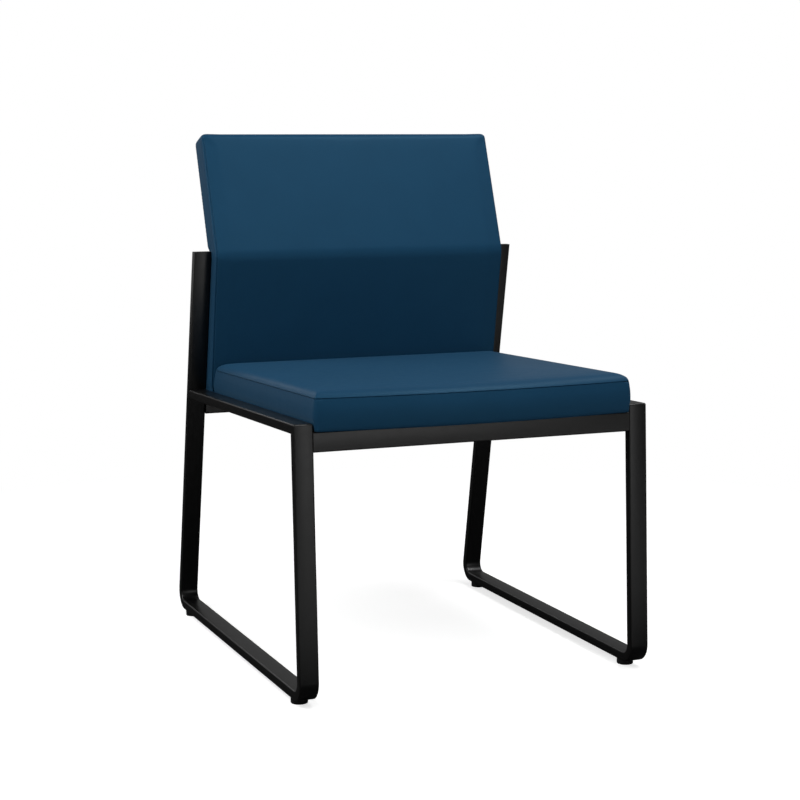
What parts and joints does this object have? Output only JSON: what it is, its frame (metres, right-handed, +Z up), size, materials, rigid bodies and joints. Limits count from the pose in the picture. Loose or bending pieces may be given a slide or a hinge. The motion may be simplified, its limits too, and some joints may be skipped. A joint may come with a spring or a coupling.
{
  "type": "sled base visitor chair",
  "caption": "Armless visitor chair: black sled base frame of flat rectangular steel tube, padded blue seat with a bowed front edge, and a bent padded back held between the rear posts.",
  "frame": {"origin": "on the floor under the middle of the chair's outer box", "axes": "+X to the right of the picture, which is the sitter's left, +Y towards the back, +Z up"},
  "size_m": [0.578, 0.6484, 0.8332],
  "materials": {
    "frame": "semi-gloss black powder coat",
    "upholstery": "smooth blue coated vinyl with a faint grain",
    "foam": "open cell cream foam",
    "board": "plain birch plywood",
    "fastener": "bright zinc plate",
    "glide": "moulded black nylon",
    "lining": "black spun lining cloth"
  },
  "bodies": {
    "root": {"left_side_tube": "frame", "right_side_tube": "frame", "left_seat_rail": "frame", "right_seat_rail": "frame", "left_post_end_plate": "frame", "right_post_end_plate": "frame", "front_cross_rail": "frame", "rear_cross_rail": "frame", "seat_bracket_front_left": "frame", "seat_bracket_front_right": "frame", "seat_bracket_rear_left": "frame", "seat_bracket_rear_right": "frame", "back_bracket_lower_left": "frame", "back_bracket_lower_right": "frame", "back_bracket_upper_left": "frame", "back_bracket_upper_right": "frame", "seat_board": "board", "seat_foam": "foam", "seat_cover": "upholstery", "seat_dust_cover": "lining", "seat_screw_front_left": "fastener", "seat_screw_front_right": "fastener", "seat_screw_rear_left": "fastener", "seat_screw_rear_right": "fastener", "seat_tee_nut_front_left": "fastener", "seat_tee_nut_front_right": "fastener", "seat_tee_nut_rear_left": "fastener", "seat_tee_nut_rear_right": "fastener", "back_cover": "upholstery", "back_foam": "foam", "back_board": "board", "back_rear_pad": "foam", "back_screw_lower_left": "fastener", "back_screw_lower_right": "fastener", "back_screw_upper_left": "fastener", "back_screw_upper_right": "fastener", "back_tee_nut_lower_left": "fastener", "back_tee_nut_lower_right": "fastener", "back_tee_nut_upper_left": "fastener", "back_tee_nut_upper_right": "fastener", "glide_front_left": "glide", "glide_front_right": "glide", "glide_rear_left": "glide", "glide_rear_right": "glide", "glide_screw_front_left": "fastener", "glide_screw_front_right": "fastener", "glide_screw_rear_left": "fastener", "glide_screw_rear_right": "fastener", "rivet_nut_front_left": "fastener", "rivet_nut_front_right": "fastener", "rivet_nut_rear_left": "fastener", "rivet_nut_rear_right": "fastener"}
  },
  "joints": []
}
